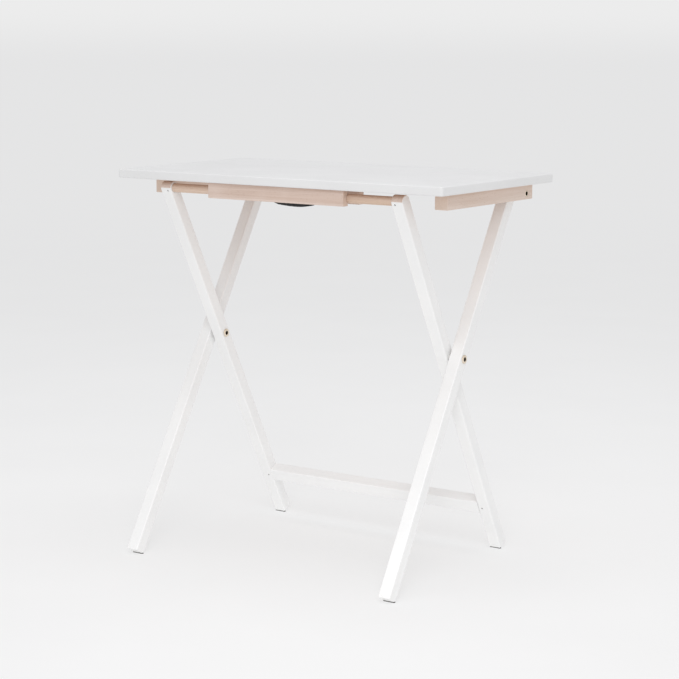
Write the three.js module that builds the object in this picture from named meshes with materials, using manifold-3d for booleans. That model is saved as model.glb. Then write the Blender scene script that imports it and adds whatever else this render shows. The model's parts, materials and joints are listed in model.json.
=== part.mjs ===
// A folding side table: a rectangular top on two crossed leg frames.
// The outer frame carries the top on a hinge at the rear. The inner frame pivots on the outer one,
// and its round crossbar snaps into a catch under the front of the top.
//
// Millimetres, +X to the right along the top, +Y to the rear, +Z up.
// The origin lies on the floor under the middle of the table's box.

import * as THREE from "three";
import { mergeVertices } from "three/addons/utils/BufferGeometryUtils.js";
import Module from "manifold-3d";

const wasm = await Module();
wasm.setup();

// ---------------------------------------------------------------- driving dimensions

const GAP = 0.3; // air between two pieces that touch

const TABLE_HEIGHT = 660;
const FOOT_Y = 191.2; // the legs stand on lines this far in front of the middle and behind it

const TOP_WIDTH = 650;
const TOP_DEPTH = 362;
const TOP_THICKNESS = 15;
const TOP_CENTRE_Y = 25;
const TOP_CORNER_RADIUS = 5;
const TOP_EDGE_ROUNDING = 2.5;
const UNDERSIDE = TABLE_HEIGHT - TOP_THICKNESS;

const LEG_WIDTH = 22; // seen from the side, square to the leg
const LEG_THICKNESS = 22; // along X
const EDGE_CHAMFER = 1; // on the legs and cleats
const PAD_THICKNESS = 1.2;
const PAD_MARGIN = 0.5; // the pad stays this far inside the edges of the flat above it
const FOOT_CUT = PAD_THICKNESS + GAP; // height of the flat on a leg's lower corner
const FOOT_FLAT = 5; // its size along Y

// Each piece beside the middle has an inner face, its X, and an outer face, its END.
const OUTER_LEG_X = 247.4;
const OUTER_LEG_END = OUTER_LEG_X + LEG_THICKNESS;
const LEG_SPACING = 4; // between an outer and an inner leg
const INNER_LEG_END = OUTER_LEG_X - LEG_SPACING;
const INNER_LEG_X = INNER_LEG_END - LEG_THICKNESS;

const CLEAT_THICKNESS = 24;
const CLEAT_HEIGHT = 28;
const CLEAT_FRONT = -89;
const CLEAT_REAR = 188;
const CLEAT_TO_LEG = 1.6;
const CLEAT_X = OUTER_LEG_END + CLEAT_TO_LEG;
const CLEAT_END = CLEAT_X + CLEAT_THICKNESS;

const HINGE_Y = 168;
const HINGE_BELOW_TOP = 18; // from the underside of the top to the hinge's axis
const DOWEL_Y = -129.4;
const DOWEL_BELOW_TOP = 14;
const DOWEL_RADIUS = 7.5;
const DOWEL_SOCKET_DEPTH = 14;
const STRETCHER_HEIGHT = 83.5;
const STRETCHER_ACROSS = 21; // square to the leg
const STRETCHER_ALONG = 25; // along the leg
const TENON_RADIUS = 6;
const TENON_LENGTH = 14;

const RAIL_HALF_LENGTH = 136;
const RAIL_HEIGHT = 26;
const RAIL_DEPTH = 14.6;
const FRONT_RAIL_FRONT = -147.6;
const REAR_RAIL_FRONT = -102;
const RAIL_BOTTOM = UNDERSIDE - RAIL_HEIGHT;

const CATCH_CLEARANCE = 0.7; // between the crossbar and the walls of the catch
const CATCH_FRONT_SLOPE = 1.85; // the catch's front wall drops this much for each millimetre back
const CATCH_REAR_SLOPE = 1.6; // the same for its rear wall, so that the catch widens downwards
const CLIP_HALF_WIDTH = 36;
const CLIP_EAR_HALF_WIDTH = 50;
const CLIP_EAR_THICKNESS = 3;
const CLIP_EAR_FRONT = -120;
const CLIP_RAMP_END = 616; // height of the ramp's lower end
const CLIP_LOWEST = 607;
const CLIP_LIP_RISE = 5; // from the middle of the lip's curved edge to its ends
const CLIP_LIP_FRONT = -86;
const CLIP_LIP_REAR = -75;
const CLIP_LIP_BEVEL = { run: 3, rise: 4 }; // on the lip's lower rear edge

const PIVOT_HEAD_RADIUS = 7;
const HINGE_HEAD_RADIUS = 5.5;
const HEAD_THICKNESS = 1.6;
const HEAD_CHAMFER = 0.5;
const BARREL_RADIUS = 4;
const SHANK_RADIUS = 3;
const SOCKET_RADIUS = 2.4; // hexagon socket, to its corners
const SOCKET_DEPTH = 2.2;
const NUT_WALL = 2; // between a nut's socket and its thread
const PIVOT_BOLT_END = INNER_LEG_X + 8;
const PIVOT_NUT_END = OUTER_LEG_X + 10;
const HINGE_BOLT_END = OUTER_LEG_X + 4;
const HINGE_NUT_END = OUTER_LEG_X + 14;
const HEAD_RECESS = HEAD_THICKNESS + GAP; // the hinge bolt's head lies flush in the cleat
const SPACER_RADIUS = 7;
const WASHER_RADIUS = 8;

const PIN_X = INNER_LEG_X + DOWEL_SOCKET_DEPTH / 2;
const PIN_RADIUS = 1;
const PIN_DEPTH = 18;
const SCREW_RADIUS = 2;
const SCREW_HEAD_RADIUS = 3.5;
const SCREW_HEAD_HEIGHT = 2.5;
const SCREW_TIP_RADIUS = 0.6;
const SCREW_IN_TOP = 10; // how far a screw reaches into the top
const SCREW_SUNK = 0.5; // a screw's head lies this deep in a cleat or rail
const CLIP_SCREW_PROUD = 0.4; // a clip screw's head stands out of the ear by this much
const CLEAT_SCREW_Y = { front: -56, rear: 114 };
const RAIL_SCREW_Y = { front: -142, rear: REAR_RAIL_FRONT + RAIL_DEPTH / 2 };
const RAIL_SCREW_X = 112;
const CLIP_SCREW_X = 43;
const CLIP_SCREW_Y = -111;

const ROUND_SIDES = 16; // facets of a bolt, bore or screw
const DOWEL_SIDES = 24;
const PIN_SIDES = 12;
const CURVE_SEGMENTS = 8; // along each curve of an outline
const ROUNDING_SEGMENTS = 3; // across the top's rounded edge
const OVERRUN = 1; // a cutter runs this far past the face that it opens
const MERGE_DISTANCE = 1e-3; // vertices closer than this are one

// ---------------------------------------------------------------- side view layout
// Points of the side view are THREE.Vector2, with x holding Y and y holding Z.

const point = (y, z) => new THREE.Vector2(y, z);
const HINGE = point(HINGE_Y, UNDERSIDE - HINGE_BELOW_TOP); // the top turns here on the outer frame
const DOWEL = point(DOWEL_Y, UNDERSIDE - DOWEL_BELOW_TOP); // crossbar of the inner frame

// A leg's lean from the vertical, positive when its upper end is further back.
// Its lower edge meets the floor at footEdge, and its centre line ends at its upper pivot.
function leanOf(footEdge, pivot) {
  const run = pivot.x - footEdge;
  const length = Math.hypot(run, pivot.y);
  const edgeAngle = Math.asin(LEG_WIDTH / 2 / length);
  return Math.atan2(run, pivot.y) + Math.sign(run) * edgeAngle;
}

const OUTER_LEAN = leanOf(-FOOT_Y, HINGE);
const INNER_LEAN = leanOf(FOOT_Y, DOWEL);
const along = (lean) => point(Math.sin(lean), Math.cos(lean)); // up the leg
const across = (lean) => point(Math.cos(lean), -Math.sin(lean)); // square to it, to the rear

// Point of a leg's centre line, or of a line parallel to it, at a given height.
function atHeight(start, lean, height) {
  return start.clone().addScaledVector(along(lean), (height - start.y) / Math.cos(lean));
}

// The two leg frames pivot where their centre lines cross.
function crossing() {
  const gapAtFloor = atHeight(DOWEL, INNER_LEAN, 0).x - atHeight(HINGE, OUTER_LEAN, 0).x;
  const height = gapAtFloor / (Math.tan(OUTER_LEAN) - Math.tan(INNER_LEAN));
  return atHeight(HINGE, OUTER_LEAN, height);
}

const PIVOT = crossing();
const STRETCHER = atHeight(DOWEL, INNER_LEAN, STRETCHER_HEIGHT);

// ---------------------------------------------------------------- materials

const paint = () => new THREE.MeshStandardMaterial({ color: 0xeeedeb, roughness: 0.5, metalness: 0 });
const bareWood = () => new THREE.MeshStandardMaterial({ color: 0xd9bda9, roughness: 0.65, metalness: 0 });
const brass = () => new THREE.MeshStandardMaterial({ color: 0xb98a55, roughness: 0.35, metalness: 1 });
const steel = () => new THREE.MeshStandardMaterial({ color: 0x8c8a88, roughness: 0.4, metalness: 1 });
const blackPlastic = () => new THREE.MeshStandardMaterial({ color: 0x17181a, roughness: 0.45, metalness: 0 });
const whitePlastic = () => new THREE.MeshStandardMaterial({ color: 0xe4e2dd, roughness: 0.5, metalness: 0 });
const darkRubber = () => new THREE.MeshStandardMaterial({ color: 0x4a4642, roughness: 0.95, metalness: 0 });

// ---------------------------------------------------------------- solids

function solidOf(geometry) {
  const bare = geometry.clone();
  bare.deleteAttribute("normal");
  bare.deleteAttribute("uv");
  const merged = mergeVertices(bare, MERGE_DISTANCE);
  return new wasm.Manifold(
    new wasm.Mesh({
      numProp: 3,
      vertProperties: merged.attributes.position.array,
      triVerts: new Uint32Array(merged.index.array),
    }),
  );
}

function geometryOf(solid) {
  const mesh = solid.getMesh();
  const geometry = new THREE.BufferGeometry();
  geometry.setAttribute("position", new THREE.BufferAttribute(mesh.vertProperties, mesh.numProp));
  geometry.setIndex(new THREE.BufferAttribute(mesh.triVerts, 1));
  const faceted = geometry.toNonIndexed();
  faceted.computeVertexNormals();
  return faceted;
}

// The piece without the volumes of the cutters.
function cut(piece, ...cutters) {
  return geometryOf(cutters.reduce((solid, cutter) => solid.subtract(solidOf(cutter)), solidOf(piece)));
}

function join(piece, ...others) {
  return geometryOf(others.reduce((solid, other) => solid.add(solidOf(other)), solidOf(piece)));
}

function common(piece, other) {
  return geometryOf(solidOf(piece).intersect(solidOf(other)));
}

// An outline of the side view, pushed from x0 to x1, with its end edges chamfered.
const SIDE_VIEW = new THREE.Matrix4().makeBasis(
  new THREE.Vector3(0, 1, 0),
  new THREE.Vector3(0, 0, 1),
  new THREE.Vector3(1, 0, 0),
);
function pushed(shape, x0, x1, chamfer = 0) {
  const geometry = new THREE.ExtrudeGeometry(shape, {
    depth: x1 - x0 - 2 * chamfer,
    bevelEnabled: chamfer > 0,
    bevelThickness: chamfer,
    bevelSize: chamfer,
    bevelOffset: -chamfer,
    bevelSegments: 1,
    curveSegments: CURVE_SEGMENTS,
  });
  return geometry.translate(0, 0, chamfer).applyMatrix4(SIDE_VIEW).translate(x0, 0, 0);
}

// A round bar along X, through a point of the side view.
function barX(radius, x0, x1, centre, sides = ROUND_SIDES) {
  return new THREE.CylinderGeometry(radius, radius, x1 - x0, sides)
    .rotateZ(-Math.PI / 2)
    .translate((x0 + x1) / 2, centre.x, centre.y);
}

// A piece turned on a lathe: a profile of [radius, distance] pairs that runs round the section,
// revolved about the Z axis.
function turned(profile, sides = ROUND_SIDES) {
  const points = profile.map(([radius, distance]) => new THREE.Vector2(radius, distance));
  return new THREE.LatheGeometry(points, sides).rotateX(Math.PI / 2);
}

// The same, lying along +X from x0, through a point of the side view.
function turnedX(profile, x0, centre) {
  return turned(profile).rotateY(Math.PI / 2).translate(x0, centre.x, centre.y);
}

// ---------------------------------------------------------------- the top and what is fixed to it

// A wood screw with its point up: a countersunk head, a shank and a tapered tip.
// margin widens it into the hole that it sits in.
function screw(bottom, tip, margin = 0) {
  const shank = SCREW_RADIUS + margin;
  return turned([
    [0, bottom - margin],
    [SCREW_HEAD_RADIUS + margin, bottom - margin],
    [SCREW_HEAD_RADIUS + margin, bottom + margin],
    [shank, bottom + SCREW_HEAD_HEIGHT + margin],
    [shank, tip - SCREW_RADIUS + margin],
    [SCREW_TIP_RADIUS + margin, tip + margin],
    [0, tip + margin],
  ]);
}

const SCREW_TIP = UNDERSIDE + SCREW_IN_TOP;
const CLEAT_SCREW_BOTTOM = UNDERSIDE - CLEAT_HEIGHT + SCREW_SUNK;
const RAIL_SCREW_BOTTOM = RAIL_BOTTOM + SCREW_SUNK;
const CLIP_SCREW_BOTTOM = UNDERSIDE - GAP - CLIP_EAR_THICKNESS - CLIP_SCREW_PROUD;
const topScrews = [];
for (const side of [-1, 1]) {
  const hand = side < 0 ? "left" : "right";
  for (const [end, y] of Object.entries(CLEAT_SCREW_Y)) {
    const x = side * (CLEAT_X + CLEAT_THICKNESS / 2);
    topScrews.push({ name: `cleat_screw_${hand}_${end}`, x, y, bottom: CLEAT_SCREW_BOTTOM });
  }
  for (const [end, y] of Object.entries(RAIL_SCREW_Y)) {
    const x = side * RAIL_SCREW_X;
    topScrews.push({ name: `rail_screw_${end}_${hand}`, x, y, bottom: RAIL_SCREW_BOTTOM });
  }
  topScrews.push({
    name: `clip_screw_${hand}`,
    x: side * CLIP_SCREW_X,
    y: CLIP_SCREW_Y,
    bottom: CLIP_SCREW_BOTTOM,
  });
}
const screwAt = ({ x, y, bottom }, margin) => screw(bottom, SCREW_TIP, margin).translate(x, y, 0);
const screwHoles = (prefix) =>
  topScrews.filter((place) => place.name.startsWith(prefix)).map((place) => screwAt(place, GAP));

function tabletop() {
  const halfWidth = TOP_WIDTH / 2;
  const halfDepth = TOP_DEPTH / 2;
  const r = TOP_CORNER_RADIUS;
  const outline = new THREE.Shape();
  outline.moveTo(halfWidth - r, -halfDepth);
  outline.absarc(halfWidth - r, -halfDepth + r, r, -Math.PI / 2, 0);
  outline.absarc(halfWidth - r, halfDepth - r, r, 0, Math.PI / 2);
  outline.absarc(-halfWidth + r, halfDepth - r, r, Math.PI / 2, Math.PI);
  outline.absarc(-halfWidth + r, -halfDepth + r, r, Math.PI, 1.5 * Math.PI);
  const board = new THREE.ExtrudeGeometry(outline, {
    depth: TOP_THICKNESS - 2 * TOP_EDGE_ROUNDING,
    bevelEnabled: true,
    bevelThickness: TOP_EDGE_ROUNDING,
    bevelSize: TOP_EDGE_ROUNDING,
    bevelOffset: -TOP_EDGE_ROUNDING,
    bevelSegments: ROUNDING_SEGMENTS,
    curveSegments: CURVE_SEGMENTS,
  }).translate(0, TOP_CENTRE_Y, UNDERSIDE + TOP_EDGE_ROUNDING);
  return cut(board, ...screwHoles(""));
}

function boxShape(y0, y1, z0, z1) {
  return new THREE.Shape([point(y0, z0), point(y1, z0), point(y1, z1), point(y0, z1)]);
}

function cleat() {
  const shape = boxShape(CLEAT_FRONT, CLEAT_REAR, UNDERSIDE - CLEAT_HEIGHT, UNDERSIDE - GAP);
  const bore = barX(SHANK_RADIUS + GAP, CLEAT_X - OVERRUN, CLEAT_END + OVERRUN, HINGE);
  const recess = barX(HINGE_HEAD_RADIUS + GAP, CLEAT_END - HEAD_RECESS, CLEAT_END + OVERRUN, HINGE);
  const block = pushed(shape, CLEAT_X, CLEAT_END, EDGE_CHAMFER);
  return cut(block, bore, recess, ...screwHoles("cleat_screw_right"));
}

// The catch is a channel round the crossbar. Its two straight walls slope down and back from it,
// the way that the crossbar leaves. Each wall starts where it touches the channel's round part.
const CATCH_RADIUS = DOWEL_RADIUS + CATCH_CLEARANCE;
const onCatch = (angle) => point(Math.cos(angle), Math.sin(angle)).multiplyScalar(CATCH_RADIUS).add(DOWEL);
const REAR_WALL_ANGLE = Math.atan2(1, CATCH_REAR_SLOPE);
const FRONT_WALL_ANGLE = Math.atan2(1, CATCH_FRONT_SLOPE) + Math.PI;

// The front rail has a cove in its rear face, where the crossbar rests.
function frontRail() {
  const rear = FRONT_RAIL_FRONT + RAIL_DEPTH;
  const top = UNDERSIDE - GAP;
  const wallTop = onCatch(FRONT_WALL_ANGLE);
  const wallDrop = (rear - wallTop.x) * CATCH_FRONT_SLOPE;
  const coveTop = Math.acos((rear - DOWEL.x) / CATCH_RADIUS);
  const shape = new THREE.Shape();
  shape.moveTo(FRONT_RAIL_FRONT, RAIL_BOTTOM);
  shape.lineTo(rear, RAIL_BOTTOM);
  shape.lineTo(rear, wallTop.y - wallDrop);
  shape.absarc(DOWEL.x, DOWEL.y, CATCH_RADIUS, FRONT_WALL_ANGLE, coveTop, true);
  shape.lineTo(rear, top);
  shape.lineTo(FRONT_RAIL_FRONT, top);
  const rail = pushed(shape, -RAIL_HALF_LENGTH, RAIL_HALF_LENGTH);
  return cut(rail, ...screwHoles("rail_screw_front"));
}

function rearRail() {
  const shape = boxShape(REAR_RAIL_FRONT, REAR_RAIL_FRONT + RAIL_DEPTH, RAIL_BOTTOM, UNDERSIDE - GAP);
  const rail = pushed(shape, -RAIL_HALF_LENGTH, RAIL_HALF_LENGTH);
  return cut(rail, ...screwHoles("rail_screw_rear"));
}

// A moulded catch between the rails: a seat over the crossbar, a ramp behind it that guides it in,
// a finger lip that reaches back under the rear rail, and two ears that take the screws.
function catchClip() {
  const top = UNDERSIDE - GAP;
  const front = FRONT_RAIL_FRONT + RAIL_DEPTH + GAP;
  const rear = REAR_RAIL_FRONT - GAP;
  const rampTop = onCatch(REAR_WALL_ANGLE);
  const rampRun = (rampTop.y - CLIP_RAMP_END) / CATCH_REAR_SLOPE;
  const lipTop = RAIL_BOTTOM - GAP;
  const shape = new THREE.Shape();
  shape.moveTo(front, top);
  shape.lineTo(front, DOWEL.y + CATCH_RADIUS);
  shape.absarc(DOWEL.x, DOWEL.y, CATCH_RADIUS, Math.PI / 2, REAR_WALL_ANGLE, true);
  shape.lineTo(rampTop.x + rampRun, CLIP_RAMP_END);
  shape.lineTo(CLIP_LIP_FRONT, CLIP_LOWEST);
  shape.lineTo(CLIP_LIP_REAR - CLIP_LIP_BEVEL.run, CLIP_LOWEST);
  shape.lineTo(CLIP_LIP_REAR, CLIP_LOWEST + CLIP_LIP_BEVEL.rise);
  shape.lineTo(CLIP_LIP_REAR, lipTop);
  shape.lineTo(rear, lipTop);
  shape.lineTo(rear, top);
  const body = pushed(shape, -CLIP_HALF_WIDTH, CLIP_HALF_WIDTH);

  // Seen from the front, the lip's lower edge is a shallow arc.
  const arcRadius = (CLIP_HALF_WIDTH ** 2 + CLIP_LIP_RISE ** 2) / (2 * CLIP_LIP_RISE);
  const arcHalfAngle = Math.asin(CLIP_HALF_WIDTH / arcRadius);
  const frontView = new THREE.Shape();
  frontView.absarc(
    0,
    CLIP_LOWEST + arcRadius,
    arcRadius,
    -Math.PI / 2 - arcHalfAngle,
    -Math.PI / 2 + arcHalfAngle,
  );
  frontView.lineTo(CLIP_HALF_WIDTH, TABLE_HEIGHT);
  frontView.lineTo(-CLIP_HALF_WIDTH, TABLE_HEIGHT);
  const trimDepth = -2 * front; // from behind the clip to well in front of it
  const trim = new THREE.ExtrudeGeometry(frontView, { depth: trimDepth, bevelEnabled: false });
  trim.rotateX(Math.PI / 2);

  const earShape = boxShape(CLIP_EAR_FRONT, rear, top - CLIP_EAR_THICKNESS, top);
  const ears = pushed(earShape, -CLIP_EAR_HALF_WIDTH, CLIP_EAR_HALF_WIDTH);
  return cut(join(common(body, trim), ears), ...screwHoles("clip_screw"));
}

// ---------------------------------------------------------------- the leg frames

// A leg's lower edge is the one that faces the middle of the table.
const lowerSide = (lean) => Math.sign(lean); // 1 when that is its rear edge

// The end of a leg's lower edge, on the flat of its foot.
function heelOf(pivot, lean) {
  const toLowerEdge = (lowerSide(lean) * LEG_WIDTH) / 2;
  return atHeight(pivot.clone().addScaledVector(across(lean), toLowerEdge), lean, FOOT_CUT);
}

// A leg's outline: round about its upper pivot and cut square at its foot,
// where the lower corner is flattened to stand on the floor.
function legShape(pivot, lean) {
  const heel = heelOf(pivot, lean);
  const flatEnd = heel.clone().sub(point(lowerSide(lean) * FOOT_FLAT, 0));
  const endLength = LEG_WIDTH - FOOT_FLAT * Math.cos(lean);
  const toe = flatEnd.clone().addScaledVector(across(lean), -lowerSide(lean) * endLength);
  const foot = lean > 0 ? [toe, flatEnd, heel] : [heel, flatEnd, toe];
  const shape = new THREE.Shape(foot);
  shape.absarc(pivot.x, pivot.y, LEG_WIDTH / 2, -lean, Math.PI - lean);
  return shape;
}

function outerLeg() {
  const leg = pushed(legShape(HINGE, OUTER_LEAN), OUTER_LEG_X, OUTER_LEG_END, EDGE_CHAMFER);
  const bore = (centre) =>
    barX(BARREL_RADIUS + GAP, OUTER_LEG_X - OVERRUN, OUTER_LEG_END + OVERRUN, centre);
  return cut(leg, bore(HINGE), bore(PIVOT));
}

// A thin nail, driven square into the front face of an inner leg, through the bar that ends there.
function pin(centre, margin = 0) {
  const depth = PIN_DEPTH + 2 * margin;
  const middle = across(INNER_LEAN)
    .multiplyScalar((PIN_DEPTH - LEG_WIDTH) / 2)
    .add(centre);
  return new THREE.CylinderGeometry(PIN_RADIUS + margin, PIN_RADIUS + margin, depth, PIN_SIDES)
    .rotateX(-INNER_LEAN)
    .translate(PIN_X, middle.x, middle.y);
}

function innerLeg() {
  const leg = pushed(legShape(DOWEL, INNER_LEAN), INNER_LEG_X, INNER_LEG_END, EDGE_CHAMFER);
  const socket = (radius, depth, centre) =>
    barX(radius + GAP, INNER_LEG_X - OVERRUN, INNER_LEG_X + depth + GAP, centre, DOWEL_SIDES);
  return cut(
    leg,
    barX(BARREL_RADIUS + GAP, INNER_LEG_X - OVERRUN, INNER_LEG_END + OVERRUN, PIVOT),
    socket(DOWEL_RADIUS, DOWEL_SOCKET_DEPTH, DOWEL),
    socket(TENON_RADIUS, TENON_LENGTH, STRETCHER),
    pin(DOWEL, GAP),
    pin(STRETCHER, GAP),
  );
}

const mirrored = (geometry) => {
  const flipped = geometry.clone().toNonIndexed().scale(-1, 1, 1);
  const position = flipped.getAttribute("position");
  const a = new THREE.Vector3();
  const b = new THREE.Vector3();
  for (let i = 0; i < position.count; i += 3) {
    a.fromBufferAttribute(position, i + 1);
    b.fromBufferAttribute(position, i + 2);
    position.setXYZ(i + 1, b.x, b.y, b.z);
    position.setXYZ(i + 2, a.x, a.y, a.z);
  }
  return flipped;
};

function latchDowel() {
  const end = INNER_LEG_X + DOWEL_SOCKET_DEPTH;
  return cut(
    barX(DOWEL_RADIUS, -end, end, DOWEL, DOWEL_SIDES),
    pin(DOWEL, GAP),
    mirrored(pin(DOWEL, GAP)),
  );
}

// A bar between the inner legs, square to them, with a round tenon on each end.
function stretcher() {
  const halfAcross = across(INNER_LEAN).multiplyScalar(STRETCHER_ACROSS / 2);
  const halfAlong = along(INNER_LEAN).multiplyScalar(STRETCHER_ALONG / 2);
  const corner = (signAcross, signAlong) =>
    STRETCHER.clone().addScaledVector(halfAcross, signAcross).addScaledVector(halfAlong, signAlong);
  const shape = new THREE.Shape([corner(-1, -1), corner(1, -1), corner(1, 1), corner(-1, 1)]);
  const halfLength = INNER_LEG_X - GAP;
  const bar = pushed(shape, -halfLength, halfLength);
  const tenonEnd = INNER_LEG_X + TENON_LENGTH;
  const tenons = barX(TENON_RADIUS, -tenonEnd, tenonEnd, STRETCHER, DOWEL_SIDES);
  return cut(join(bar, tenons), pin(STRETCHER, GAP), mirrored(pin(STRETCHER, GAP)));
}

// A thin strip under the flat of a leg's foot.
function footPad(pivot, lean, x) {
  const middle = heelOf(pivot, lean).x - (lowerSide(lean) * FOOT_FLAT) / 2;
  const halfDepth = FOOT_FLAT / 2 - PAD_MARGIN;
  const shape = boxShape(middle - halfDepth, middle + halfDepth, 0, PAD_THICKNESS);
  return pushed(shape, x + PAD_MARGIN, x + LEG_THICKNESS - PAD_MARGIN);
}

// ---------------------------------------------------------------- bolts, nuts, spacers, washers

const headProfile = (radius) => [
  [0, 0],
  [radius - HEAD_CHAMFER, 0],
  [radius, HEAD_CHAMFER],
  [radius, HEAD_THICKNESS],
];

// The hexagon socket of a head whose outside is at x0, running in direction, 1 or -1, along X.
function hexSocket(x0, direction, centre) {
  const depth = SOCKET_DEPTH + OVERRUN;
  return new THREE.CylinderGeometry(SOCKET_RADIUS, SOCKET_RADIUS, depth, 6)
    .rotateZ(-Math.PI / 2)
    .translate(x0 + direction * (SOCKET_DEPTH - depth / 2), centre.x, centre.y);
}

// A bolt whose head lies against the face at headFace and whose shank runs to end, towards the middle.
function bolt(headRadius, headFace, end, centre) {
  const outside = headFace + GAP + HEAD_THICKNESS;
  const length = outside - end;
  const shank = [[SHANK_RADIUS, HEAD_THICKNESS], [SHANK_RADIUS, length], [0, length]];
  const body = turned([...headProfile(headRadius), ...shank])
    .rotateY(-Math.PI / 2)
    .translate(outside, centre.x, centre.y);
  return cut(body, hexSocket(outside, -1, centre));
}

// A barrel nut whose head lies against the face at headFace and whose barrel runs outwards to end.
function nut(headRadius, headFace, end, centre) {
  const outside = headFace - GAP - HEAD_THICKNESS;
  const length = end - outside;
  const wallStart = SOCKET_DEPTH + NUT_WALL;
  const thread = SHANK_RADIUS + GAP;
  const profile = [
    ...headProfile(headRadius),
    [BARREL_RADIUS, HEAD_THICKNESS],
    [BARREL_RADIUS, length],
    [thread, length],
    [thread, wallStart],
    [0, wallStart],
  ];
  return cut(turnedX(profile, outside, centre), hexSocket(outside, 1, centre));
}

// A spacer or washer between x0 and x1.
function ring(inner, outer, x0, x1, centre) {
  const length = x1 - x0;
  return turnedX([[inner, 0], [outer, 0], [outer, length], [inner, length], [inner, 0]], x0, centre);
}

// ---------------------------------------------------------------- assembly

const table = new THREE.Group();

function add(name, geometry, material) {
  const mesh = new THREE.Mesh(geometry, material);
  mesh.name = name;
  table.add(mesh);
  return mesh;
}

// Adds a right-hand piece and its mirror image on the left.
function addPair(name, geometry, material) {
  add(`${name}_right`, geometry, material());
  add(`${name}_left`, geometry, material()).scale.x = -1;
}

add("tabletop", tabletop(), paint());
addPair("cleat", cleat(), bareWood);
add("catch_rail_front", frontRail(), bareWood());
add("catch_rail_rear", rearRail(), bareWood());
add("catch_clip", catchClip(), blackPlastic());
for (const place of topScrews) {
  add(place.name, screwAt(place), steel());
}

addPair("outer_leg", outerLeg(), paint);
addPair("foot_pad_front", footPad(HINGE, OUTER_LEAN, OUTER_LEG_X), darkRubber);
addPair("pivot_bolt", bolt(PIVOT_HEAD_RADIUS, OUTER_LEG_END, PIVOT_BOLT_END, PIVOT), brass);
addPair("pivot_nut", nut(PIVOT_HEAD_RADIUS, INNER_LEG_X, PIVOT_NUT_END, PIVOT), brass);
addPair(
  "pivot_spacer",
  ring(BARREL_RADIUS + GAP, SPACER_RADIUS, INNER_LEG_END + GAP, OUTER_LEG_X - GAP, PIVOT),
  whitePlastic,
);
addPair("hinge_bolt", bolt(HINGE_HEAD_RADIUS, CLEAT_END - HEAD_RECESS, HINGE_BOLT_END, HINGE), brass);
addPair("hinge_nut", nut(HINGE_HEAD_RADIUS, OUTER_LEG_X, HINGE_NUT_END, HINGE), brass);
addPair(
  "hinge_washer",
  ring(SHANK_RADIUS + GAP, WASHER_RADIUS, OUTER_LEG_END + GAP, CLEAT_X - GAP, HINGE),
  steel,
);

addPair("inner_leg", innerLeg(), paint);
addPair("foot_pad_rear", footPad(DOWEL, INNER_LEAN, INNER_LEG_X), darkRubber);
add("latch_dowel", latchDowel(), bareWood());
add("stretcher", stretcher(), paint());
addPair("dowel_pin", pin(DOWEL), steel);
addPair("stretcher_pin", pin(STRETCHER), steel);

export default table;
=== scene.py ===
"""A folding side table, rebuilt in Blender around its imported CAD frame.

Every piece is made here with rounded edges and a procedural material, stands for one CAD node,
and rides on that node's body. Metres, +X right, +Y rear, +Z up, in the CAD frame.
"""

import json
import math

import bmesh
import bpy
from mathutils import Matrix, Vector


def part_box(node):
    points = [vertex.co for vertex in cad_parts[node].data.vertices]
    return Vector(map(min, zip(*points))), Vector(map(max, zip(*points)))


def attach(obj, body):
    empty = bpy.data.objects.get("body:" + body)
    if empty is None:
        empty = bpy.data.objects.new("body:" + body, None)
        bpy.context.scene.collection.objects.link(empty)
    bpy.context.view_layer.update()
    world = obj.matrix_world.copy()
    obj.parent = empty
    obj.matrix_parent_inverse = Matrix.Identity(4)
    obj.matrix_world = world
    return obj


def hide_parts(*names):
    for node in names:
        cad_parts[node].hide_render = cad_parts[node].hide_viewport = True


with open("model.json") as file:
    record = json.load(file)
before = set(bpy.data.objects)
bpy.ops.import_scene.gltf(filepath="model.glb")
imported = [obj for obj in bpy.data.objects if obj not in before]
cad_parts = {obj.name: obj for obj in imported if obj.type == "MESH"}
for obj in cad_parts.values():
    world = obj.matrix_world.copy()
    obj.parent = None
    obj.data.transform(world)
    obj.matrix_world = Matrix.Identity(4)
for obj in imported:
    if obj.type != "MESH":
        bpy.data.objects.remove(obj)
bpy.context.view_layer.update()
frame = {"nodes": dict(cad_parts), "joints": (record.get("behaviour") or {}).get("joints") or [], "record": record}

MM = 0.001
JOINTS = {joint["name"]: joint for joint in frame["joints"]}
NODE_SLOT = {part["node"]: part["material_slot"] for part in frame["record"]["subparts"]}
NODE_BODY = {
    node: body for body, nodes in frame["record"]["behaviour"]["bodies"].items() for node in nodes
}

# Where things are in the side view, read from the frame.
PIVOT = Vector(JOINTS["leg_fold"]["pos_m"])
HINGE = Vector(JOINTS["top_fold"]["pos_m"])


def middle(node):
    """The middle of a CAD node's box."""
    low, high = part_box(node)
    return (low + high) / 2


DOWEL = middle("latch_dowel")
DOWEL_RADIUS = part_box("latch_dowel")[1].z - DOWEL.z
STRETCHER = middle("stretcher")
AXIS_X = Vector((1, 0, 0))
AXIS_Y = Vector((0, 1, 0))
AXIS_Z = Vector((0, 0, 1))
SIDES = {"left": -1, "right": 1}

# ------------------------------------------------------------------ camera

CAMERA_PLACE = Vector((1.8971, -2.7604, 0.9050))
CAMERA_YAW = 0.5946
CAMERA_PITCH = 0.1574
CAMERA_ROLL = 0.0040
CAMERA_LENS = 105.04
SENSOR_WIDTH = 36.0
CAMERA_REACH = 100.0  # far enough to see the wall of the room


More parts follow.
